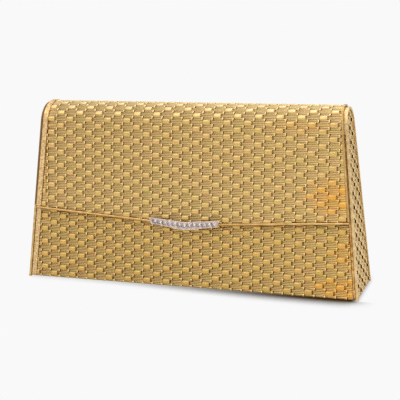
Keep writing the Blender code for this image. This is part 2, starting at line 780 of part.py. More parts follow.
def make_spring(floor, back, collection):
    # a leaf that stands on the case's floor and bends up to lie against the tongue's underside
    start = floor + SEAM + SPRING_GAUGE
    inner = back + CASE_DEPTH - CASE_WALL - SEAM
    root = swing_matrix(RAIL_OUTSIDE + RAIL_THICKNESS + SEAM)
    crest = root @ Vector((0, -TONGUE_THICKNESS / 2 - SPRING_GAP, -TONGUE_REACH * CREST_SHARE))
    foot_y, foot_z = skin_point(start, inner - SPRING_GAUGE)
    toe_y, toe_z = skin_point(start, back + SPRING_GAUGE)
    points = [(toe_y, toe_z), (foot_y, foot_z), (crest.y, crest.z)]

    def place(row, column):
        y, z = points[row]
        return Vector((-SPRING_WIDTH / 2 if column else SPRING_WIDTH / 2, y, z))
    make_sheet("catch_spring", len(points), 2, place, SPRING_GAUGE, SPRING_STEEL, collection)


def build():
    clear_scene()
    bag = make_collection("clutch_bag")
    cutters = make_collection("cutters")
    face_foot = LIP_HEIGHT + SEAM
    front = make_face("front", face_foot, MOUTH_STATION, bag)
    leaf_foot = crown_station(math.pi - KNUCKLE_TURN) + LEAF_HEIGHT + SEAM
    make_face("back", leaf_foot, PROFILE_LENGTH - face_foot, bag)
    make_base(PROFILE_LENGTH - leaf_foot, bag)
    make_gusset("left", -1, bag, cutters)
    make_gusset("right", 1, bag, cutters)
    make_mouth_rim(bag)
    lining = make_lining(bag)
    make_hinge(bag, cutters)
    make_flap(bag)
    make_rail(bag)
    make_thumbpiece(bag, cutters)
    make_catch(front, lining, bag, cutters)


build()
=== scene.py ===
# Looks of the woven clutch: wire weave, polished frame, stone-set thumbpiece and satin lining
import math

import bmesh
import bpy
from mathutils import Matrix, Vector


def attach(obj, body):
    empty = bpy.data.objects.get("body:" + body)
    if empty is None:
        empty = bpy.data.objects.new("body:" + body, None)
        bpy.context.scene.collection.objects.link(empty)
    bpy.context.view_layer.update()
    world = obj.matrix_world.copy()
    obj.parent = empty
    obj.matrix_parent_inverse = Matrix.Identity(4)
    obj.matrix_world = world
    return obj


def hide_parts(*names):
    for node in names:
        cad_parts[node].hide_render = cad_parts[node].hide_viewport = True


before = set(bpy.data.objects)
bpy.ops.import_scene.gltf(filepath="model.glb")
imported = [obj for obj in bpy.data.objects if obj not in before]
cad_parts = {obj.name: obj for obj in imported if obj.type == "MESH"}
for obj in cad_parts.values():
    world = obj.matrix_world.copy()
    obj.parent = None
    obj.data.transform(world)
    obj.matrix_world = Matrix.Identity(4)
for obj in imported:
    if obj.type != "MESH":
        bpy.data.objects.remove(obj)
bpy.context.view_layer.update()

# The bag's form, in metres. Station is a length up the front face from its foot, depth runs inwards.
bagForm = {
    "footWidth": 0.1921,
    "topWidth": 0.1739,
    "baseDepth": 0.0398,
    "height": 0.1006,
    "crownRadius": 0.0104,
    "crownHeight": 0.0890,
    "rimWidth": 0.0012,
}
footToCrown = math.hypot(bagForm["baseDepth"] / 2, bagForm["crownHeight"])
lean = math.pi / 2 - math.atan2(bagForm["crownHeight"], bagForm["baseDepth"] / 2) \
    - math.asin(bagForm["crownRadius"] / footToCrown)
faceLength = math.sqrt(footToCrown ** 2 - bagForm["crownRadius"] ** 2)
sideTaper = (bagForm["footWidth"] - bagForm["topWidth"]) / 2 / bagForm["height"]
sideLean = math.atan(sideTaper)


def facePoint(station, depth):
    y = -bagForm["baseDepth"] / 2 + math.sin(lean) * station + math.cos(lean) * depth
    return y, math.cos(lean) * station - math.sin(lean) * depth


def crownPoint(turn, depth):
    radius = bagForm["crownRadius"] - depth
    return -radius * math.cos(turn), bagForm["crownHeight"] + radius * math.sin(turn)


def halfWidth(z):
    return bagForm["footWidth"] / 2 - sideTaper * z


# Camera at the photograph's angle
cameraView = {
    "azimuth": 19.00,
    "elevation": 12.08,
    "roll": -1.30,
    "distance": 0.5719,
    "lens": 92.04,
    "sensor": 36,
    "clip": 0.01,
    "target": (0.00314, 0, 0.04551),
}


def aimCamera():
    turn = math.radians(cameraView["azimuth"])
    rise = math.radians(cameraView["elevation"])
    roll = math.radians(cameraView["roll"])
    back = Vector((math.sin(turn) * math.cos(rise), -math.cos(turn) * math.cos(rise), math.sin(rise)))
    right = Vector((math.cos(turn), math.sin(turn), 0))
    up = back.cross(right)
    tiltedRight = math.cos(roll) * right + math.sin(roll) * up
    tiltedUp = -math.sin(roll) * right + math.cos(roll) * up
    place = Matrix((tiltedRight, tiltedUp, back)).transposed().to_4x4()
    place.translation = Vector(cameraView["target"]) + back * cameraView["distance"]
    bpy.ops.object.camera_add()
    camera = bpy.context.object
    camera.name = "camera"
    camera.data.lens = cameraView["lens"]
    camera.data.sensor_width = cameraView["sensor"]
    camera.data.clip_start = cameraView["clip"]
    camera.matrix_world = place
    bpy.context.scene.camera = camera


# Helpers for working with operators
def clearSelection():
    if bpy.context.object and bpy.context.object.mode != "OBJECT":
        bpy.ops.object.mode_set(mode="OBJECT")
    bpy.ops.object.select_all(action="DESELECT")


def chooseOnly(*items):
    clearSelection()
    for item in items:
        item.select_set(True)
    bpy.context.view_layer.objects.active = items[0]


def settle(item):
    chooseOnly(item)
    bpy.ops.object.transform_apply(location=True, rotation=True, scale=True)


def applyModifiers(item):
    chooseOnly(item)
    for modifier in list(item.modifiers):
        bpy.ops.object.modifier_apply(modifier=modifier.name)


def copyPiece(item, name):
    piece = item.copy()
    piece.data = item.data.copy()
    piece.name = name
    piece.data.name = name
    bpy.context.scene.collection.objects.link(piece)
    return piece


def discard(item):
    bpy.data.objects.remove(item, do_unlink=True)


def joinPieces(pieces, name):
    chooseOnly(*pieces)
    bpy.ops.object.join()
    joined = bpy.context.object
    joined.name = name
    joined.data.name = name
    return joined


def pushPoints(chosen, shift):
    # moves some of the edited mesh's vertices, which are named by index
    shape = bmesh.from_edit_mesh(bpy.context.edit_object.data)
    for vertex in shape.verts:
        vertex.select = vertex.index in chosen
    shape.select_flush(True)
    bpy.ops.transform.translate(value=shift)


def pickFaces(piece, test):
    # selects the edited mesh's faces that pass a test
    shape = bmesh.from_edit_mesh(piece.data)
    for face in shape.faces:
        face.select = test(face)
    shape.select_flush(True)


def sliceOff(piece, point, normal, within=None):
    # cuts away what lies beyond a plane, on all of the piece or where a test holds
    chooseOnly(piece)
    bpy.ops.object.mode_set(mode="EDIT")
    bpy.ops.mesh.select_all(action="SELECT")
    if within:
        pickFaces(piece, lambda face: within(face.calc_center_median()))
    bpy.ops.mesh.bisect(plane_co=point, plane_no=normal, clear_outer=True, clear_inner=False)
    bpy.ops.object.mode_set(mode="OBJECT")


# Weave: one brick link and one wire link make a cell of two columns and four rows, which is laid as a sheet
weave = {
    "column": 0.005785,
    "row": 0.0018775,
    # across the link, down from its top, and how much of the groove this point takes
    "section": ((-0.95, 0.36, 0), (-0.80, 0.12, 0), (-0.46, 0, 0), (-0.13, 0, 0.45), (0, 0, 1),
                (0.13, 0, 0.45), (0.46, 0, 0), (0.80, 0.12, 0), (0.95, 0.36, 0)),
    # along the link, up, how deep the groove between its two wires is, and how wide it spreads
    "brick": ((-7.05, -0.42, 0.2, 1), (-6.90, -0.28, 0.3, 1), (-6.66, -0.08, 0.3, 1),
              (-0.50, -0.08, 0.3, 1), (-0.12, 0.02, 0.15, 1.1), (0.06, 0.17, 0, 1.22),
              (0.26, 0.24, 0, 1.28), (3.74, 0.24, 0, 1.28), (3.94, 0.16, 0, 1.22),
              (4.06, -0.08, 0.05, 1.1), (4.16, -0.34, 0.1, 1), (4.525, -0.42, 0.1, 1)),
    "wire": ((0.05, -0.42, 0.1, 1), (0.20, -0.26, 0.25, 1), (0.38, -0.04, 0.3, 1), (4.60, -0.02, 0.3, 1),
             (4.86, 0.09, 0.1, 0.85), (5.04, 0.17, 0, 0.75), (5.46, 0.17, 0, 0.75), (5.64, 0.06, 0, 0.75),
             (5.75, -0.42, 0, 0.9), (5.835, -0.42, 0, 1)),
    # the gussets' open weave: shorter bricks with a hole before each
    "openBrick": ((-6.55, -0.60, 0.2, 1), (-6.45, -0.34, 0.3, 1), (-6.25, -0.10, 0.3, 1),
                  (-0.50, -0.10, 0.3, 1), (-0.12, 0.02, 0.15, 1.1), (0.06, 0.17, 0, 1.22),
                  (0.26, 0.24, 0, 1.28), (2.70, 0.24, 0, 1.28), (2.95, 0.14, 0, 1.22),
                  (3.06, -0.20, 0.05, 1), (3.12, -0.52, 0.1, 1), (5.025, -0.60, 0.1, 1)),
    "slant": 0.13,
    "lowest": -0.00096,
    "highest": 0.0003,
    "columnsAcross": 32,
    "smooth": 55,
}
perMetre = 1000                 # the links above are in millimetres


def makeLink(name, path, slant, mark):
    section = weave["section"]
    longSteps = len(path) - 1
    crossSteps = len(section) - 1
    clearSelection()
    bpy.ops.mesh.primitive_grid_add(x_subdivisions=longSteps, y_subdivisions=crossSteps, size=1 / perMetre)
    link = bpy.context.object
    link.name = name
    steps = {(round((v.co.x * perMetre + 0.5) * longSteps), round((v.co.y * perMetre + 0.5) * crossSteps)):
             v.index for v in link.data.vertices}
    bpy.ops.object.mode_set(mode="EDIT")
    for i, (along, up, groove, spread) in enumerate(path):
        for j, (across, down, share) in enumerate(section):
            reach = across * spread if spread > 1 or 0 < j < crossSteps else across
            place = Vector((along + slant * across, reach, up - down - share * groove)) / perMetre
            start = Vector((i / longSteps - 0.5, j / crossSteps - 0.5, 0)) / perMetre
            pushPoints({steps[(i, j)]}, place - start)
    bpy.ops.object.mode_set(mode="OBJECT")
    kind = link.data.attributes.new("brick", "FLOAT", "POINT")
    kind.data.foreach_set("value", [mark] * len(link.data.vertices))
    return link


def makeCell(brickPath):
    brick = makeLink("brickLink", brickPath, 0, 1)
    wire = makeLink("wireLink", weave["wire"], weave["slant"], 0)
    parts = []
    for link, column, row in ((brick, 0, 0), (brick, 1, 2), (wire, 0, 1), (wire, 0, 3), (wire, 1, 1),
                              (wire, 1, 3)):
        part = copyPiece(link, "cellPart")
        part.location = (column * weave["column"], row * weave["row"], 0)
        parts.append(part)
    discard(brick)
    discard(wire)
    cell = joinPieces(parts, "weaveCell")
    settle(cell)
    return cell


def layCells(cell, name, left, right, low, high, originX, originV, squeeze=(1, 1)):
    # a flat sheet of cells that covers left..right and low..high, with a brick's left end at the origin
    wide = 2 * weave["column"] * squeeze[0]
    tall = 4 * weave["row"] * squeeze[1]
    firstX = math.floor((left - originX) / wide) - 1
    firstV = math.floor((low - originV) / tall) - 1
    sheet = copyPiece(cell, name)
    sheet.scale = (squeeze[0], squeeze[1], 1)
    sheet.location = (originX + firstX * wide, originV + firstV * tall, 0)
    settle(sheet)
    for way, step, count in (("across", (wide, 0, 0), math.ceil((right - originX) / wide) - firstX + 1),
                             ("up", (0, tall, 0), math.ceil((high - originV) / tall) - firstV + 1)):
        array = sheet.modifiers.new(way, "ARRAY")
        array.use_relative_offset = False
        array.use_constant_offset = True
        array.constant_offset_displace = step
        array.count = count
    applyModifiers(sheet)
    sliceOff(sheet, (0, low, 0), (0, -1, 0))
    sliceOff(sheet, (0, high, 0), (0, 1, 0))
    sliceOff(sheet, (left, 0, 0), (-1, 0, 0))
    sliceOff(sheet, (right, 0, 0), (1, 0, 0))
    return sheet


def markWeave(sheet, originX, originV, squeeze=(1, 1)):
    # keeps each point's height in the weave, and a flat map in links, for the materials
    heights = [(v.co.z - weave["lowest"]) / (weave["highest"] - weave["lowest"]) for v in sheet.data.vertices]
    lift = sheet.data.attributes.new("lift", "FLOAT", "POINT")
    lift.data.foreach_set("value", heights)
    flatMap = sheet.data.uv_layers[0] if sheet.data.uv_layers else sheet.data.uv_layers.new(name="UVMap")
    spots = []
    for loop in sheet.data.loops:
        place = sheet.data.vertices[loop.vertex_index].co
        spots += [(place.x - originX) / weave["column"] / squeeze[0],
                  (place.y - originV) / weave["row"] / squeeze[1] + 0.5]
    flatMap.data.foreach_set("uv", spots)


def bendAlong(sheet, points):
    # lays a flat sheet along a line in the YZ plane: the line runs up the sheet, X stays across
    path = bpy.data.curves.new("bendPath", "CURVE")
    path.dimensions = "3D"
    path.twist_mode = "Z_UP"
    spline = path.splines.new("POLY")
    spline.points.add(len(points) - 1)
    for point, (y, z) in zip(spline.points, points):
        point.co = (y, z, 0, 1)
    guide = bpy.data.objects.new("bendPath", path)
    bpy.context.scene.collection.objects.link(guide)
    sheet.rotation_euler = (-math.pi / 2, -math.pi / 2, 0)
    settle(sheet)
    bend = sheet.modifiers.new("bend", "CURVE")
    bend.object = guide
    bend.deform_axis = "POS_X"
    applyModifiers(sheet)
    sheet.rotation_euler = (math.pi / 2, 0, math.pi / 2)
    settle(sheet)
    discard(guide)


def trimSides(sheet, leftInset, rightInset):
    # the bag's sides lean in, so the sheet is cut on two sloping planes
    half = bagForm["footWidth"] / 2
    sliceOff(sheet, (half - rightInset, 0, 0), (1, 0, sideTaper))
    sliceOff(sheet, (-half + leftInset, 0, 0), (-1, 0, sideTaper))


def finishWeave(sheet, body, node, finish="wovenGold"):
    chooseOnly(sheet)
    bpy.ops.object.shade_smooth_by_angle(angle=math.radians(weave["smooth"]))
    sheet.data.materials.clear()
    sheet.data.materials.append(finishes[finish])
    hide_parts(node)
    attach(sheet, body)


flapWeave = {
    "depth": -0.00066,          # middle of the weave
    "start": 0.030,             # station where the bent path begins
    "brickX": -0.07735,         # left end of one brick
    "brickStation": 0.0576,
    "railTop": (0.0413, 0.0357),  # top of the rail at the flap's ends and at its middle
    "railHalf": 0.0889,
    "reach": 0.089,
    "flatSteps": 8,
    "crownSteps": 90,
    "gap": 0.0001,
    "sideGap": 0.0008,          # between the flap and the gussets' rims
    "borders": (0.0028, 0.0010),
    "endTurn": 134.4,
}


def flapPath(depth, crownSteps):
    # up the front and over the crown, below the flap's face
    start = flapWeave["start"]
    steps = flapWeave["flatSteps"]
    path = [facePoint(start + (faceLength - start) * i / steps, depth) for i in range(steps + 1)]
    return path + [crownPoint(lean + (math.pi - 2 * lean) * i / crownSteps, depth)
                   for i in range(1, crownSteps + 1)]


def cutChevron(sheet, foot):
    # the flap's lower edge rises from its middle to both ends
    endTop, middleTop = flapWeave["railTop"]
    rise = (endTop - middleTop) / flapWeave["railHalf"]
    for side in (1, -1):
        sliceOff(sheet, (0, foot, 0), (side * rise, -1, 0), lambda place: place.x * side > 0)


def weaveFlap(cell):
    form = flapWeave
    depth = form["depth"]
    radius = bagForm["crownRadius"] - depth
    high = faceLength - form["start"] + (math.radians(form["endTurn"]) - lean) * radius
    origin = form["brickStation"] - form["start"]
    sheet = layCells(cell, "flapWeave", -form["reach"], form["reach"], 0, high, form["brickX"], origin)
    cutChevron(sheet, form["railTop"][1] + form["gap"] - form["start"])
    markWeave(sheet, form["brickX"], origin)
    bendAlong(sheet, flapPath(depth, form["crownSteps"]))
    flapEnd = bagForm["rimWidth"] + form["sideGap"]
    trimSides(sheet, flapEnd + form["borders"][0] + form["gap"], flapEnd + form["borders"][1] + form["gap"])
    finishWeave(sheet, "flap", "flap_panel")


bodyWeave = {
    "depth": 0.00070,
    "brickX": -0.08235,
    "brickStation": 0.01725,
    "squeeze": (0.9933, 0.982),
    "lip": 0.00335,
    "mouth": 0.0840,
    "backTop": 0.0852,
    "cornerRadius": 0.00035,
    "cornerSteps": 24,
    "flatSteps": 6,
    "reach": 0.0945,
    "baseRise": 0.00026,
    "borders": (0.0028, 0.0010),
    "gap": 0.0003,
}


def bodyPath():
    # down the back, round the base and up the front
    form = bodyWeave
    radius = form["cornerRadius"]
    inner = form["depth"] + radius
    station = (form["baseRise"] + radius + math.sin(lean) * inner) / math.cos(lean)
    centreY, centreZ = facePoint(station, inner)
    corners = form["cornerSteps"]
    steps = form["flatSteps"]
    front = [(centreY - radius * math.sin(turn), centreZ - radius * math.cos(turn))
             for turn in [(math.pi / 2 + lean) * i / corners for i in range(corners + 1)]]
    front += [facePoint(station + (faceLength - station) * i / steps, form["depth"])
              for i in range(1, steps + 1)]
    back = [(-y, z) for y, z in reversed(front)]
    return back + front


def pathLength(points):
    return sum(math.dist(a, b) for a, b in zip(points, points[1:]))


def weaveBody(cell):
    form = bodyWeave
    path = bodyPath()
    whole = pathLength(path)
    toFront = whole - faceLength         # a station on the front is this much further along the path
    originV = toFront + form["brickStation"]
    cuts = {
        "backWeave": (faceLength - form["backTop"], faceLength - form["lip"], "back_panel"),
        "baseWeave": (faceLength - form["lip"], toFront + form["lip"], "base_panel"),
        "frontWeave": (toFront + form["lip"], toFront + form["mouth"], "front_panel"),
    }
    rim = bagForm["rimWidth"] + form["gap"]
    for name, (low, high, node) in cuts.items():
        sheet = layCells(cell, name, -form["reach"], form["reach"], low, high, form["brickX"], originV,
                         form["squeeze"])
        markWeave(sheet, form["brickX"], originV, form["squeeze"])
        if name == "frontWeave":
            clearSlot(sheet, toFront)
        bendAlong(sheet, path)
        trimSides(sheet, rim + form["borders"][0] + form["gap"], rim + form["borders"][1] + form["gap"])
        finishWeave(sheet, "bag_body", node, "bodyGold")


catchSlot = {
    "station": 0.03485,
    "plate": (0.0150, 0.0056),
    "margin": 0.0017,
    "clearance": 0.00008,
    "depth": 0.00058,
    "thickness": 0.0005,
    "edge": 0.00012,
    "rivet": 0.00055,
    "rivetAt": 0.0066,
    "rivetFlat": 0.35,
    "around": 0.004,            # how far round the window the weave's faces are split
}


def clearSlot(sheet, toFront):
    # opens a clean window in the flat weave, which the slot's plate fills
    halfWide = catchSlot["plate"][0] / 2 + catchSlot["clearance"]
    halfTall = catchSlot["plate"][1] / 2 + catchSlot["clearance"]
    middle = toFront + catchSlot["station"]
    chooseOnly(sheet)
    bpy.ops.object.mode_set(mode="EDIT")

    def pickWindow(extra):
        pickFaces(sheet, lambda face: abs(face.calc_center_median().x) < halfWide + extra
                  and abs(face.calc_center_median().y - middle) < halfTall + extra)
    for point, normal in (((halfWide, 0, 0), (1, 0, 0)), ((-halfWide, 0, 0), (1, 0, 0)),
                          ((0, middle + halfTall, 0), (0, 1, 0)), ((0, middle - halfTall, 0), (0, 1, 0))):
        pickWindow(catchSlot["around"])
        bpy.ops.mesh.bisect(plane_co=point, plane_no=normal)
    pickWindow(0)
    bpy.ops.mesh.delete(type="FACE")
    bpy.ops.object.mode_set(mode="OBJECT")


gussetWeave = {
    "inset": 0.00052,
    "rimDepth": 0.0016,
    "brickY": -0.0140,
    "brickZ": 0.0060,
    "foot": 0.0002,
    "reach": 0.021,
    "height": 0.0985,
    "roundCuts": 12,
}


def weaveGusset(cell, side, name, node):
    form = gussetWeave
    sheet = layCells(cell, name, -form["reach"], form["reach"], 0, form["height"], form["brickY"],
                     form["brickZ"])
    markWeave(sheet, form["brickY"], form["brickZ"])
    # the bricks' open ends face the front on both gussets, so the left one is a mirror image
    across = Vector((0, -1, 0))
    out = Vector((side * math.cos(sideLean), 0, math.sin(sideLean)))
    up = out.cross(across) * -side
    place = Matrix((across, up, out)).transposed().to_4x4()
    place.translation = (side * (bagForm["footWidth"] / 2 - form["inset"]), 0, 0)
    sheet.matrix_world = place
    settle(sheet)
    sliceOff(sheet, (0, 0, form["foot"]), (0, 0, -1))
    for facing in (-1, 1):
        y, z = facePoint(0, form["rimDepth"])
        sliceOff(sheet, (0, -facing * y, z), (0, facing * math.cos(lean), math.sin(lean)))
    for i in range(1, form["roundCuts"]):
        turn = lean + (math.pi - 2 * lean) * i / form["roundCuts"]
        sliceOff(sheet, (0, *crownPoint(turn, form["rimDepth"])), (0, -math.cos(turn), math.sin(turn)))
    finishWeave(sheet, "bag_body", node, "gussetGold")


def faceFrame(x, station, depth):
    # across, up the face and out of it
    y, z = facePoint(station, depth)
    out = Vector((0, -math.cos(lean), math.sin(lean)))
    up = Vector((0, math.sin(lean), math.cos(lean)))
    place = Matrix((Vector((1, 0, 0)), up, out)).transposed().to_4x4()
    place.translation = (x, y, z)
    return place


def finishMetal(piece, finish, body, angle=35):
    chooseOnly(piece)
    bpy.ops.object.shade_smooth_by_angle(angle=math.radians(angle))
    piece.data.materials.append(finishes[finish])
    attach(piece, body)


def makeSlotPlate():
    form = catchSlot
    clearSelection()
    bpy.ops.mesh.primitive_plane_add(size=1)
    plate = bpy.context.object
    plate.name = "slotPlate"
    bpy.ops.object.mode_set(mode="EDIT")
    bpy.ops.transform.resize(value=(form["plate"][0], form["plate"][1], 1))
    bpy.ops.mesh.inset(thickness=form["margin"])
    bpy.ops.mesh.delete(type="FACE")
    bpy.ops.object.mode_set(mode="OBJECT")
    wall = plate.modifiers.new("wall", "SOLIDIFY")
    wall.thickness = form["thickness"]
    wall.offset = -1
    soft = plate.modifiers.new("soft", "BEVEL")
    soft.width = form["edge"]
    soft.segments = 3
    applyModifiers(plate)
    parts = [plate]
    for side in (-1, 1):
        bpy.ops.mesh.primitive_uv_sphere_add(segments=20, ring_count=10, radius=form["rivet"],
                                             location=(side * form["rivetAt"], 0, 0))
        rivet = bpy.context.object
        rivet.scale.z = form["rivetFlat"]
        parts.append(rivet)
    for part in parts:
        settle(part)
    plate = joinPieces(parts, "slotPlate")
    plate.matrix_world = faceFrame(0, form["station"], form["depth"])
    settle(plate)
    finishMetal(plate, "polishedGold", "bag_body")


hingeCheek = {
    "size": (0.0030, 0.0092, 0.0005),
    "inside": 0.0028,           # from the gusset's outside to the middle of the cheek
    "station": 0.0886,
    "depth": 0.0016,
    "edge": 0.0001,
}


def makeCheek(side, name):
    form = hingeCheek
    clearSelection()
    bpy.ops.mesh.primitive_cube_add(size=1)
    cheek = bpy.context.object
    cheek.name = name
    cheek.scale = form["size"]
    settle(cheek)
    soft = cheek.modifiers.new("soft", "BEVEL")
    soft.width = form["edge"]
    soft.segments = 2
    applyModifiers(cheek)
    y, z = facePoint(form["station"], form["depth"])
    out = Vector((0, math.cos(lean), math.sin(lean)))
    up = Vector((0, -math.sin(lean), math.cos(lean)))
    place = Matrix((up.cross(out), up, out)).transposed().to_4x4()
    place.translation = (side * (halfWidth(z) - form["inside"]), -y, z)
    cheek.matrix_world = place
    settle(cheek)
    finishMetal(cheek, "rimGold", "bag_body")


thumbStones = {
    "count": 13,
    "pitch": 0.00284,
    "radius": 0.00125,
    "rowTop": 0.0350,           # station of the middle stone
    "rowRise": 0.00165,
    "girdleDepth": -0.00302,
    "girdle": 0.00008,
    # up from the girdle, scale of the ring, turn of the ring in degrees
    "crown": ((0.00021, 0.80, 11.25), (0.00017, 0.68, 11.25)),
    "pavilion": ((-0.00052, 0.58, 11.25), (-0.00042, 0.06, 0)),
    "bead": 0.00036,
    "beadOffset": 0.00100,
    "frontDepth": -0.0033,
}


def makeBrilliant():
    form = thumbStones
    clearSelection()
    bpy.ops.mesh.primitive_cylinder_add(vertices=16, radius=form["radius"], depth=form["girdle"],
                                        location=(0, 0, -form["girdle"] / 2))
    stone = bpy.context.object
    stone.name = "brilliant"
    settle(stone)
    bpy.ops.object.mode_set(mode="EDIT")
    for facing, rings in ((1, form["crown"]), (-1, form["pavilion"])):
        bpy.ops.mesh.select_all(action="DESELECT")
        pickFaces(stone, lambda face: face.normal.z * facing > 0.9)
        for up, scale, turn in rings:
            bpy.ops.mesh.extrude_region_move(TRANSFORM_OT_translate={"value": (0, 0, up)})
            bpy.ops.transform.resize(value=(scale, scale, 1), center_override=(0, 0, 0))
            bpy.ops.transform.rotate(value=math.radians(turn), orient_axis="Z", center_override=(0, 0, 0))
    bpy.ops.mesh.select_all(action="SELECT")
    bpy.ops.mesh.quads_convert_to_tris()
    bpy.ops.mesh.normals_make_consistent(inside=False)
    bpy.ops.object.mode_set(mode="OBJECT")
    return stone


def setStones():
    form = thumbStones
    brilliant = makeBrilliant()
    clearSelection()
    bpy.ops.mesh.primitive_ico_sphere_add(subdivisions=2, radius=form["bead"])
    bead = bpy.context.object
    middle = (form["count"] - 1) / 2
    beads = []

    def rowStation(offset):
        return form["rowTop"] + form["rowRise"] * min(abs(offset), middle) / middle
    for i in range(form["count"]):
        offset = i - middle
        stone = copyPiece(brilliant, "brilliant%02d" % (i + 1))
        stone.matrix_world = faceFrame(offset * form["pitch"], rowStation(offset), form["girdleDepth"])
        settle(stone)
        stone.data.materials.append(finishes["stone"])
        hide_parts("stone_%02d" % (i + 1))
        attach(stone, "flap")
    for i in range(form["count"] + 1):
        offset = i - middle - 0.5
        for side in (-1, 1):
            part = copyPiece(bead, "beadPart")
            station = rowStation(offset) + side * form["beadOffset"]
            part.matrix_world = faceFrame(offset * form["pitch"], station, form["frontDepth"])
            beads.append(part)
    discard(brilliant)
    discard(bead)
    row = joinPieces(beads, "stoneBeads")
    settle(row)
    finishMetal(row, "whiteMetal", "flap", 60)


# Satin linings, glued over stiff card, so they are stretched flat with a turned hem
pocketLining = {
    "foot": (0.0922, 0.0160, 0.0019),   # half width, half depth and height, at the middle of the cloth
    "mouth": (0.0843, 0.0079, 0.0829),
    "steps": 10,
    "thickness": 0.0004,
    "gather": 0.00022,
    "hem": ((0, -0.0006), (-0.0006, -0.0004), (0, -0.0032)),   # inwards and down, from the mouth
    "window": (0.0081, 0.0272, 0.0374),  # half width, foot and top of the opening round the lock case
    "clear": 0.004,             # the gathers keep this far from the seams and the window
    "flat": (0.228, 0.200),
    "area": 0.0430,
}


def linePocket():
    form = pocketLining
    foot = form["foot"]
    mouth = form["mouth"]
    clearSelection()
    bpy.ops.mesh.primitive_cube_add(size=1)
    cloth = bpy.context.object
    cloth.name = "pocketLining"
    bpy.ops.object.mode_set(mode="EDIT")
    for high, (x, y, z) in ((False, foot), (True, mouth)):
        bpy.ops.mesh.select_all(action="DESELECT")
        shape = bmesh.from_edit_mesh(cloth.data)
        for vertex in shape.verts:
            vertex.select = (vertex.co.z > 0) == high and abs(vertex.co.z) == 0.5
        shape.select_flush(True)
        bpy.ops.transform.resize(value=(2 * x, 2 * y, 1), center_override=(0, 0, 0))
        bpy.ops.transform.translate(value=(0, 0, z - (0.5 if high else -0.5) + (10 if high else 0)))
    # the mouth was lifted out of the way of the test above, and comes back down
    bpy.ops.transform.translate(value=(0, 0, -10))
    pickFaces(cloth, lambda face: face.normal.z > 0.9)
    bpy.ops.mesh.delete(type="ONLY_FACE")
    bpy.ops.mesh.select_all(action="SELECT")
    bpy.ops.mesh.subdivide(number_cuts=form["steps"])
    halfWindow, low, high = form["window"]
    for point, normal in (((-halfWindow, 0, 0), (1, 0, 0)), ((halfWindow, 0, 0), (1, 0, 0)),
                          ((0, 0, low), (0, 0, 1)), ((0, 0, high), (0, 0, 1))):
        bpy.ops.mesh.select_all(action="SELECT")
        bpy.ops.mesh.bisect(plane_co=point, plane_no=normal)

    def inWindow(face):
        middle = face.calc_center_median()
        return middle.y < 0 and abs(middle.x) < halfWindow and low < middle.z < high
    bpy.ops.mesh.select_all(action="DESELECT")
    pickFaces(cloth, inWindow)
    bpy.ops.mesh.delete(type="FACE")
    # shallow gathers run down the two long walls
    across = 2 * foot[0] / (form["steps"] + 1)
    clear = form["clear"]
    for side in (-1, 1):
        shape = bmesh.from_edit_mesh(cloth.data)
        chosen = {v.index for v in shape.verts
                  if v.co.y * side > 0 and foot[2] + clear < v.co.z < mouth[2] - clear
                  and round(v.co.x / across * 2) % 2 == 1 and abs(v.co.x) > halfWindow + clear
                  and abs(v.co.x) < mouth[0] - clear}
        pushPoints(chosen, (0, -side * form["gather"], 0))
    # the hem turns in and down at the mouth
    bpy.ops.mesh.select_all(action="DESELECT")
    shape = bmesh.from_edit_mesh(cloth.data)
    for edge in shape.edges:
        edge.select = all(abs(v.co.z - mouth[2]) < 0.00005 for v in edge.verts)
    for inwards, down in form["hem"]:
        bpy.ops.mesh.extrude_region_move(TRANSFORM_OT_translate={"value": (0, 0, down)})
        bpy.ops.transform.resize(value=(1 + inwards / mouth[0], 1 + inwards / mouth[1], 1),
                                 center_override=(0, 0, 0))
    bpy.ops.mesh.select_all(action="SELECT")
    bpy.ops.mesh.normals_make_consistent(inside=False)
    bpy.ops.object.mode_set(mode="OBJECT")
    finishCloth(cloth, form, "bag_body", "body_lining")


def finishCloth(cloth, form, body, node):
    wall = cloth.modifiers.new("wall", "SOLIDIFY")
    wall.thickness = form["thickness"]
    wall.offset = 0
    smooth = cloth.modifiers.new("smooth", "SUBSURF")
    smooth.levels = 1
    smooth.render_levels = 1
    applyModifiers(cloth)
    bpy.ops.object.shade_smooth_by_angle(angle=math.radians(50))
    cloth.data.materials.append(finishes["satin"])
    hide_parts(node)
    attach(cloth, body)


flapLiningForm = {
    "depth": 0.00030,
    "margin": 0.0030,
    "above": 0.0030,            # from the rail's top to the cloth
    "reach": 0.0875,
    "turnShort": 2,             # degrees by which the cloth ends before the weave
    "crownSteps": 60,
    "steps": (44, 30),
    "hem": 0.0016,
    "hemDrop": 0.00012,
    "thickness": 0.0003,
    "flat": (0.175, 0.078),
    "area": 0.0126,
}


def lineFlap():
    form = flapLiningForm
    depth = form["depth"]
    start = flapWeave["start"]
    radius = bagForm["crownRadius"] - depth
    endTurn = math.radians(flapWeave["endTurn"] - form["turnShort"])
    high = faceLength - start + (endTurn - lean) * radius
    low = flapWeave["railTop"][1] - start
    clearSelection()
    bpy.ops.mesh.primitive_grid_add(x_subdivisions=form["steps"][0], y_subdivisions=form["steps"][1], size=1)
    cloth = bpy.context.object
    cloth.name = "flapSatin"
    cloth.scale = (2 * form["reach"], high - low, 1)
    cloth.location = (0, (high + low) / 2, 0)
    settle(cloth)
    cutChevron(cloth, low + form["above"])
    chooseOnly(cloth)
    bpy.ops.object.mode_set(mode="EDIT")
    bpy.ops.mesh.select_all(action="SELECT")
    bpy.ops.mesh.remove_doubles(threshold=0.00001)
    bpy.ops.mesh.inset(thickness=form["hem"], depth=form["hemDrop"])
    bpy.ops.object.mode_set(mode="OBJECT")
    bendAlong(cloth, flapPath(depth, form["crownSteps"]))
    flapEnd = bagForm["rimWidth"] + flapWeave["sideGap"] + form["margin"]
    trimSides(cloth, flapEnd, flapEnd)
    finishCloth(cloth, form, "flap", "flap_lining")


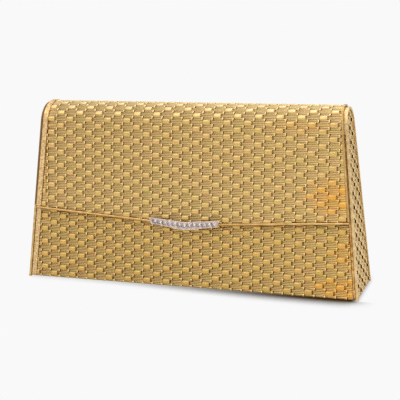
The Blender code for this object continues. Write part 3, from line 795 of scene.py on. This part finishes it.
# Finishes
def newGroup(name, inputs, outputs):
    group = bpy.data.node_groups.new(name, "ShaderNodeTree")
    for label, kind, value in inputs:
        socket = group.interface.new_socket(name=label, in_out="INPUT", socket_type="NodeSocket" + kind)
        if value is not None:
            socket.default_value = value
    for label, kind in outputs:
        group.interface.new_socket(name=label, in_out="OUTPUT", socket_type="NodeSocket" + kind)
    return group, group.nodes.new("NodeGroupInput").outputs, group.nodes.new("NodeGroupOutput")


def feed(tree, socket, value):
    # a socket takes a link or a plain value
    if isinstance(value, bpy.types.NodeSocket):
        tree.links.new(value, socket)
    else:
        socket.default_value = value


def feedAll(tree, node, values):
    for label, value in values.items():
        feed(tree, node.inputs[label], value)


def addNode(tree, kind, feeds=None, **settings):
    # settings come first, because they decide which sockets there are
    node = tree.nodes.new("ShaderNode" + kind)
    for label, value in settings.items():
        setattr(node, label, value)
    feedAll(tree, node, feeds or {})
    return node


def mixValues(tree, factor, first, second, kind="FLOAT"):
    mix = addNode(tree, "Mix", {"Factor": factor, "A": first, "B": second}, data_type=kind)
    return mix.outputs["Result"]


def mixColours(tree, factor, first, second):
    return mixValues(tree, factor, first, second, "RGBA")


def rescale(tree, value, low, high, start=0, end=1, way="LINEAR"):
    # start to end of the value becomes low to high
    scale = addNode(tree, "MapRange", {"Value": value, "From Min": start, "From Max": end, "To Min": low,
                                       "To Max": high}, interpolation_type=way)
    return scale.outputs["Result"]


def smoothMask(tree, value, start, end):
    return rescale(tree, value, 0, 1, start, end, "SMOOTHSTEP")


def joinMaths(tree, operation, first, second=0):
    return addNode(tree, "Math", {0: first, 1: second}, operation=operation).outputs[0]


def joinVectors(tree, operation, first, second=(0, 0, 0)):
    return addNode(tree, "VectorMath", {0: first, 1: second}, operation=operation).outputs["Vector"]


def splitVector(tree, vector):
    return addNode(tree, "SeparateXYZ", {0: vector}).outputs


def addNoise(tree, vector, scale, detail=3):
    noise = addNode(tree, "TexNoise", {"Vector": vector, "Scale": scale, "Detail": detail})
    return noise.outputs["Fac"]


wireForm = {
    "strips": (1, 2, 1),        # each link is split into strips, which differ in tone
    "drift": 0.3,
    "lines": (0.22, 0.46),      # from a strip's middle, where the painted dark line of shade between wires begins and is full
    "crests": (0.77, 0.88),     # how high in the weave the worn crests begin and are full; on the wire knobs they also carry a painted highlight
    "crestShare": 0.8,
    "rough": (0.34, 0.52),
    "streaks": (6, 2.5, 1),
    "streakScale": 1.6,
}


def makeWireTone():
    # colour of one wire from its height in the weave, its kind and the strip that it is in
    form = wireForm
    group, given, result = newGroup("wireTone", [
        ("Map", "Vector", None), ("Lift", "Float", 0.5), ("Brick", "Float", 0.0), ("Deep", "Color", None),
        ("Body", "Color", None), ("Crest", "Color", None), ("Tip", "Color", None), ("Rose", "Color", None),
        ("Olive", "Color", None), ("Variation", "Float", 0.3), ("Deep Start", "Float", 0.3),
        ("Deep End", "Float", 0.64), ("Lines", "Float", 0.5)],
        [("Color", "Color"), ("Roughness", "Float"), ("Height", "Float")])
    halves = joinVectors(group, "MULTIPLY", given["Map"], form["strips"])
    strips = joinVectors(group, "FLOOR", halves)
    chance = addNode(group, "TexWhiteNoise", {"Vector": strips}, noise_dimensions="3D")
    drift = addNoise(group, given["Map"], form["drift"])
    mottle = mixValues(group, 0.5, chance.outputs["Value"], drift)
    tint = mixColours(group, mottle, given["Rose"], given["Olive"])
    toned = mixColours(group, given["Variation"], given["Body"], tint)
    # painted shade: dark lines between the wires
    within = splitVector(group, joinVectors(group, "FRACTION", halves))
    offMiddle = joinMaths(group, "ABSOLUTE", joinMaths(group, "SUBTRACT", within["Y"], 0.5))
    line = joinMaths(group, "MULTIPLY", smoothMask(group, offMiddle, *form["lines"]), given["Lines"])
    wires = mixColours(group, line, toned, given["Deep"])
    kept = joinMaths(group, "MULTIPLY", given["Variation"], form["crestShare"])
    crest = mixColours(group, kept, given["Crest"], tint)
    # the wire links' knobs take a colour that is partly wear and partly a painted highlight
    raised = mixColours(group, given["Brick"], given["Tip"], crest)
    crested = mixColours(group, smoothMask(group, given["Lift"], *form["crests"]), wires, raised)
    # painted shade: low in the weave the wires darken to the Deep colour
    deepMask = smoothMask(group, given["Lift"], given["Deep Start"], given["Deep End"])
    streakMap = joinVectors(group, "MULTIPLY", given["Map"], form["streaks"])
    feedAll(group, result, {
        "Color": mixColours(group, deepMask, given["Deep"], crested),
        "Roughness": rescale(group, drift, *form["rough"]),
        "Height": addNoise(group, streakMap, form["streakScale"])})
    return group


reflectionPatchForm = {
    "ragged": 0.9,              # scale of the noise that breaks up a patch's edge
    "edge": (1.45, 0.75),
}


def makeReflectionPatch():
    # a soft-edged, uneven patch of painted orange reflection round one spot of the flat map
    group, given, result = newGroup("paintedReflectionPatch", [
        ("Map", "Vector", None), ("Centre", "Vector", None), ("Reach", "Vector", (1, 1, 1)),
        ("Strength", "Float", 0.5)], [("Mask", "Float")])
    away = joinVectors(group, "SUBTRACT", given["Map"], given["Centre"])
    share = joinVectors(group, "DIVIDE", away, given["Reach"])
    distance = addNode(group, "VectorMath", {0: share}, operation="LENGTH").outputs["Value"]
    spread = joinMaths(group, "ADD", distance, addNoise(group, given["Map"], reflectionPatchForm["ragged"]))
    mask = smoothMask(group, spread, *reflectionPatchForm["edge"])
    feedAll(group, result, {"Mask": joinMaths(group, "MULTIPLY", mask, given["Strength"])})
    return group


def makeSurfaceGrain():
    # fine drawn marks and clouding for polished metal, on Object coordinates; the mask mixes in a look's
    # painted light colour, painted shade on some looks and a painted reflection on others
    group, given, result = newGroup("surfaceGrain", [
        ("Vector", "Vector", None), ("Fineness", "Float", 900.0), ("Cloud", "Float", 90.0),
        ("Contrast", "Float", 0.0), ("Dark", "Color", None), ("Light", "Color", None),
        ("Smooth", "Float", 0.15), ("Rough", "Float", 0.3), ("Tint", "Color", None), ("Mask", "Float", 0.0)],
        [("Color", "Color"), ("Roughness", "Float"), ("Height", "Float")])
    cloud = addNoise(group, given["Vector"], given["Cloud"], 4)
    high = joinMaths(group, "SUBTRACT", 1, given["Contrast"])
    mottle = smoothMask(group, cloud, given["Contrast"], high)
    clouded = mixColours(group, mottle, given["Dark"], given["Light"])
    grain = addNoise(group, given["Vector"], given["Fineness"])
    feedAll(group, result, {
        "Color": mixColours(group, given["Mask"], clouded, given["Tint"]),
        "Roughness": rescale(group, grain, given["Smooth"], given["Rough"]),
        "Height": grain})
    return group


def newFinish(name):
    material = bpy.data.materials.new(name)
    material.use_nodes = True
    return material, material.node_tree, material.node_tree.nodes["Principled BSDF"]


def addBump(tree, shader, height, strength, distance):
    bump = addNode(tree, "Bump", {"Strength": strength, "Distance": distance, "Height": height})
    tree.links.new(bump.outputs["Normal"], shader.inputs["Normal"])


wovenFinish = {
    "Deep": (0.27, 0.15, 0.04, 1),
    "Body": (0.58, 0.405, 0.15, 1),
    "Crest": (0.63, 0.43, 0.14, 1),
    "Tip": (0.74, 0.54, 0.23, 1),
    "Rose": (0.675, 0.37, 0.19, 1),
    "Olive": (0.51, 0.425, 0.115, 1),
    "Variation": 0.60,
    "Deep Start": 0.38,
    "Deep End": 0.66,
    "Lines": (0.64, 0.42),      # at the bag's left and right
    "crown": (0.30, 0.90),      # where the sheet turns upwards its wires take a painted pale highlight and are less glossy
    "paleness": 0.55,
    "crownRough": 0.62,
    "pale": (0.77, 0.645, 0.40, 1),
    "creases": (0.30, 0.80),    # how open a spot is where its painted crease shade begins and ends
    "creaseReach": 0.0008,
    "dirt": (0.16, 0.075, 0.015, 1),
    "bump": (0.3, 0.00006),
    "warm": (0.76, 0.35, 0.04, 1),
    "warmWires": 0.45,          # how much of a patch shows below the crests
    # painted orange reflections: where in the flat map, how far they reach, in links, and how strong they are
    "patches": (((27.8, -1.5, 0), (3.9, 7.6, 1), 0.75), ((24.5, 18, 0), (4.0, 2.4, 1), 0.25)),
}
bodyFinish = wovenFinish | {
    "Deep": (0.15, 0.06, 0.012, 1),
    "Body": (0.57, 0.38, 0.115, 1),
    "Crest": (0.59, 0.365, 0.075, 1),
    "Tip": (0.68, 0.475, 0.165, 1),
    "Rose": (0.675, 0.365, 0.165, 1),
    "Variation": 0.60,
    "Lines": (0.98, 0.54),
    "patches": (((29.6, -5.5, 0), (4.2, 4.2, 1), 0.70), ((29.8, 4.5, 0), (2.6, 7.0, 1), 0.45)),
}
gussetFinish = wovenFinish | {
    "Deep": (0.018, 0.010, 0.003, 1),
    "Body": (0.67, 0.42, 0.135, 1),
    "Crest": (0.74, 0.485, 0.155, 1),
    "Tip": (0.80, 0.56, 0.20, 1),
    "Rose": (0.72, 0.42, 0.17, 1),
    "Variation": 0.35,
    "Deep Start": 0.30,
    "Deep End": 0.56,
    "Lines": (0.20, 0.20),
    "patches": (),
    "openings": (-0.48, -0.85),  # the links' open ends face the front; those faces get a painted dark shade for the holes
}


def makeWoven(name, toneGroup, reflectionGroup, tones):
    material, tree, shader = newFinish(name)
    flatMap = addNode(tree, "UVMap", uv_map="UVMap").outputs["UV"]
    lift = addNode(tree, "Attribute", attribute_name="lift").outputs["Fac"]
    brick = addNode(tree, "Attribute", attribute_name="brick").outputs["Fac"]
    column = splitVector(tree, flatMap)["X"]
    lines = rescale(tree, column, *tones["Lines"], end=weave["columnsAcross"])
    tone = addNode(tree, "Group", {"Map": flatMap, "Lift": lift, "Brick": brick, "Lines": lines},
                   node_tree=toneGroup)
    feedAll(tree, tone, {label: tones[label] for label in tones if label[0].isupper() and label != "Lines"})
    turned = splitVector(tree, addNode(tree, "NewGeometry").outputs["True Normal"])
    upwards = smoothMask(tree, turned["Z"], *tones["crown"])
    # painted highlight: faces that turn upwards are made paler
    paleness = joinMaths(tree, "MULTIPLY", upwards, tones["paleness"])
    colour = mixColours(tree, paleness, tone.outputs["Color"], tones["pale"])
    crests = rescale(tree, smoothMask(tree, lift, *wireForm["crests"]), tones["warmWires"], 1)
    # painted orange reflections, laid mostly on the crests
    for centre, reach, strength in tones["patches"]:
        patch = addNode(tree, "Group", {"Map": flatMap, "Centre": centre, "Reach": reach,
                                        "Strength": strength}, node_tree=reflectionGroup)
        shown = joinMaths(tree, "MULTIPLY", patch.outputs["Mask"], crests)
        colour = mixColours(tree, shown, colour, tones["warm"])
    # painted shade in the creases and round the links, from ambient occlusion
    near = addNode(tree, "AmbientOcclusion", {"Distance": tones["creaseReach"]}, samples=8)
    colour = mixColours(tree, smoothMask(tree, near.outputs["AO"], *tones["creases"]), tones["dirt"], colour)
    # painted shade: faces that turn to the front are darkened as the weave's holes
    if "openings" in tones:
        dark = smoothMask(tree, turned["Y"], *tones["openings"])
        colour = mixColours(tree, dark, colour, tones["Deep"])
    softened = joinMaths(tree, "MULTIPLY", upwards, tones["crownRough"])
    rough = joinMaths(tree, "MAXIMUM", tone.outputs["Roughness"], softened)
    feedAll(tree, shader, {"Base Color": colour, "Roughness": rough, "Metallic": 1})
    addBump(tree, shader, tone.outputs["Height"], *tones["bump"])
    return material


def makeMetal(name, grainGroup, look):
    material, tree, shader = newFinish(name)
    place = addNode(tree, "TexCoord").outputs["Object"]
    grain = addNode(tree, "Group", {"Vector": place}, node_tree=grainGroup)
    feedAll(tree, grain, {label: look[label] for label in look if label[0].isupper()})
    # downward-facing faces take the look's painted light: painted shadow under the rail, painted reflection
    # under the stone setting
    if "underside" in look:
        turned = splitVector(tree, addNode(tree, "NewGeometry").outputs["Normal"])
        feed(tree, grain.inputs["Mask"], smoothMask(tree, turned["Z"], *look["underside"]))
    # painted shade on the upper front of a part, where something stands over it
    if "above" in look:
        parts = splitVector(tree, place)
        upper = smoothMask(tree, parts["Z"], *look["above"])
        front = smoothMask(tree, parts["Y"], *look["front"])
        feed(tree, grain.inputs["Mask"], joinMaths(tree, "MULTIPLY", upper, front))
    feedAll(tree, shader, {"Base Color": grain.outputs["Color"], "Roughness": grain.outputs["Roughness"],
                           "Metallic": 1})
    addBump(tree, shader, grain.outputs["Height"], 0.12, 0.00005)
    return material


metalLooks = {
    "polishedGold": {"Dark": (0.46, 0.31, 0.12, 1), "Light": (0.72, 0.53, 0.27, 1), "Cloud": 140,
                     "Contrast": 0.1, "Smooth": 0.30, "Rough": 0.46, "Fineness": 1400},
    "rimGold": {"Dark": (0.49, 0.33, 0.14, 1), "Light": (0.73, 0.55, 0.28, 1), "Cloud": 420,
                "Contrast": 0.25, "Smooth": 0.46, "Rough": 0.60, "Fineness": 1400},
    # painted shade: the left rim is tinted dark on its upper front, where the flap's end stands over it
    "shadedRim": {"Dark": (0.40, 0.26, 0.09, 1), "Light": (0.66, 0.48, 0.22, 1), "Cloud": 420,
                  "Contrast": 0.25, "Smooth": 0.46, "Rough": 0.60, "Fineness": 1400,
                  "Tint": (0.20, 0.105, 0.04, 1), "above": (0.0405, 0.0425), "front": (0.004, -0.002)},
    "mottledGold": {"Dark": (0.50, 0.30, 0.12, 1), "Light": (0.80, 0.58, 0.30, 1), "Cloud": 900,
                    "Contrast": 0.30, "Smooth": 0.38, "Rough": 0.54, "Fineness": 900},
    "amberGold": {"Dark": (0.36, 0.15, 0.03, 1), "Light": (0.78, 0.47, 0.17, 1), "Cloud": 520,
                  "Contrast": 0.30, "Smooth": 0.38, "Rough": 0.54, "Fineness": 900},
    # the rail's downward-facing faces carry a painted shadow
    "railGold": {"Dark": (0.48, 0.275, 0.085, 1), "Light": (0.66, 0.43, 0.165, 1), "Cloud": 260,
                 "Contrast": 0.25, "Smooth": 0.38, "Rough": 0.52, "Fineness": 1400,
                 "Tint": (0.16, 0.055, 0.008, 1), "underside": (0.0, -0.45)},
    "borderGold": {"Dark": (0.40, 0.22, 0.06, 1), "Light": (0.62, 0.42, 0.17, 1), "Cloud": 260,
                   "Contrast": 0.25, "Smooth": 0.42, "Rough": 0.56, "Fineness": 1400},
    # the setting's downward-facing bevels carry a painted pale reflection of the floor
    "whiteMetal": {"Dark": (0.32, 0.255, 0.25, 1), "Light": (0.74, 0.59, 0.49, 1), "Cloud": 700,
                   "Contrast": 0.2, "Smooth": 0.28, "Rough": 0.42, "Fineness": 1500,
                   "Tint": (0.95, 0.88, 0.84, 1), "underside": (-0.1, -0.6)},
    "springSteel": {"Dark": (0.42, 0.42, 0.43, 1), "Light": (0.62, 0.62, 0.63, 1), "Cloud": 120,
                    "Contrast": 0.1, "Smooth": 0.20, "Rough": 0.36, "Fineness": 1800},
}


def makeStone():
    material, tree, shader = newFinish("stone")
    feedAll(tree, shader, {"Base Color": (0.93, 0.94, 1.0, 1), "Roughness": 0.02, "IOR": 2.2,
                           "Transmission Weight": 1})
    return material


satinFinish = {
    "dark": (0.085, 0.055, 0.032, 1),
    "light": (0.13, 0.085, 0.05, 1),
    "mottle": 160,
    "threads": 2500,
}


def makeSatin():
    material, tree, shader = newFinish("liningSatin")
    place = addNode(tree, "TexCoord").outputs["Object"]
    mottle = addNoise(tree, place, satinFinish["mottle"])
    colour = mixColours(tree, mottle, satinFinish["dark"], satinFinish["light"])
    addBump(tree, shader, addNoise(tree, place, satinFinish["threads"], 2), 0.3, 0.00004)
    feedAll(tree, shader, {"Base Color": colour, "Roughness": 0.48, "Sheen Weight": 0.3})
    return material


toneGroup = makeWireTone()
reflectionGroup = makeReflectionPatch()
grainGroup = makeSurfaceGrain()
finishes = {
    "wovenGold": makeWoven("wovenGold", toneGroup, reflectionGroup, wovenFinish),
    "bodyGold": makeWoven("bodyGold", toneGroup, reflectionGroup, bodyFinish),
    "gussetGold": makeWoven("gussetGold", toneGroup, reflectionGroup, gussetFinish),
    "stone": makeStone(),
    "satin": makeSatin(),
}
for name, look in metalLooks.items():
    finishes[name] = makeMetal(name, grainGroup, look)
print("finishes made")

nodeFinish = {
    "polishedGold": ["mouth_rim", "body_hinge_leaf", "hinge_pin", "lock_case", "flap_hinge_leaf"],
    "rimGold": ["gusset_rim_right"],
    "shadedRim": ["gusset_rim_left"],
    "mottledGold": ["body_border_left", "flap_border_left"],
    "amberGold": ["body_border_right"],
    "railGold": ["flap_rail"],
    "borderGold": ["flap_border_right"],
    "whiteMetal": ["thumbpiece_setting"],
    "springSteel": ["catch_spring", "catch_tongue"],
}


def dressNodes():
    for finish, names in nodeFinish.items():
        for name in names:
            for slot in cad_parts[name].material_slots:
                slot.material = finishes[finish]


# Floor, light and surroundings
studio = {
    "floor": (0.86, 0.86, 0.86, 1),
    "floorSize": 30,
    "floorHeight": -0.0002,
    "seen": (0.947, 0.947, 0.947, 1),
    "zenith": (1.15, 1.15, 1.15, 1),
    "horizon": (0.62, 0.62, 0.62, 1),
    # darkest colour of the painted contact shadow, tinted brown as painted bounce light from the gold
    "dark": (0.045, 0.02, 0, 1),
    "shadowReach": 0.018,
    # darkest painted shadow, and how open the floor is where it begins and where it ends, left and right
    "shadow": ((0.80, 0.52, 0.72), (0.0, 0.62, 0.95)),
    "span": (-0.075, 0.075),
    "shadowEnd": (0.110, 0.096),
    "besideEnd": (0.098, 0.092),
    "before": (-0.0185, -0.0215),
}


def paintFloor(tree, shader):
    # lit plainly for the bag, and seen as even paper with a painted contact shadow close round it
    feedAll(tree, shader, {"Base Color": studio["floor"], "Roughness": 0.9})
    parts = splitVector(tree, addNode(tree, "TexCoord").outputs["Object"])
    side = smoothMask(tree, parts["X"], *studio["span"])
    darkest, begins, ends = [mixValues(tree, side, left, right) for left, right in zip(*studio["shadow"])]
    # painted contact shadow from ambient occlusion, faint at the left and dark at the right
    near = addNode(tree, "AmbientOcclusion", {"Distance": studio["shadowReach"]}, samples=16)
    shade = rescale(tree, near.outputs["AO"], darkest, 1, begins, ends)
    # the painted shadow is left out beside the gusset's foot
    before = smoothMask(tree, parts["Y"], *studio["before"])
    within = smoothMask(tree, parts["X"], *studio["besideEnd"])
    beside = joinMaths(tree, "MULTIPLY", joinMaths(tree, "MAXIMUM", before, within),
                       smoothMask(tree, parts["X"], *studio["shadowEnd"]))
    shown = mixValues(tree, beside, 1, shade)
    paper = addNode(tree, "Emission", {"Color": mixColours(tree, shown, studio["dark"], studio["seen"])})
    rays = addNode(tree, "LightPath").outputs["Is Camera Ray"]
    either = addNode(tree, "MixShader", {0: rays, 1: shader.outputs["BSDF"], 2: paper.outputs["Emission"]})
    tree.links.new(either.outputs["Shader"], tree.nodes["Material Output"].inputs["Surface"])


def setStudio():
    clearSelection()
    bpy.ops.mesh.primitive_plane_add(size=studio["floorSize"], location=(0, 0, studio["floorHeight"]))
    floor = bpy.context.object
    floor.name = "floor"
    settle(floor)
    material, tree, shader = newFinish("paleFloor")
    paintFloor(tree, shader)
    floor.data.materials.append(material)
    world = bpy.data.worlds.new("studio")
    bpy.context.scene.world = world
    world.use_nodes = True
    tree = world.node_tree
    height = splitVector(tree, addNode(tree, "TexCoord").outputs["Generated"])["Z"]
    ramp = mixColours(tree, height, studio["horizon"], studio["zenith"])
    rays = addNode(tree, "LightPath").outputs["Is Camera Ray"]
    feed(tree, tree.nodes["Background"].inputs["Color"], mixColours(tree, rays, ramp, studio["seen"]))
    bpy.context.scene.view_settings.view_transform = "Standard"


lamps = {
    "keyLamp": {"place": (-0.6, -1.35, 1.5), "size": 1.8, "power": 11.8},
    "sideLamp": {"place": (1.5, -0.7, 0.9), "size": 0.9, "power": 8.6},
    "topLamp": {"place": (0.1, 0.5, 1.7), "size": 1.2, "power": 11},
}


lampTarget = (0, 0, 0.05)


def hangLamps():
    for name, lamp in lamps.items():
        clearSelection()
        bpy.ops.object.light_add(type="AREA", location=lamp["place"])
        light = bpy.context.object
        light.name = name
        light.data.shape = "DISK"
        light.data.size = lamp["size"]
        light.data.energy = lamp["power"]
        aim = Vector(lampTarget) - light.location
        light.rotation_euler = aim.to_track_quat("-Z", "Y").to_euler()


aimCamera()
setStudio()
hangLamps()
dressNodes()
print("studio set")
weaveCell = makeCell(weave["brick"])
weaveFlap(weaveCell)
print("flap woven")
weaveBody(weaveCell)
print("body woven")
discard(weaveCell)
openCell = makeCell(weave["openBrick"])
weaveGusset(openCell, -1, "gussetWeaveLeft", "gusset_left")
weaveGusset(openCell, 1, "gussetWeaveRight", "gusset_right")
discard(openCell)
print("gussets woven")
makeSlotPlate()
makeCheek(-1, "hingeCheekLeft")
makeCheek(1, "hingeCheekRight")
setStones()
print("catch plate and stones set")
linePocket()
lineFlap()
print("linings laid")

clearSelection()
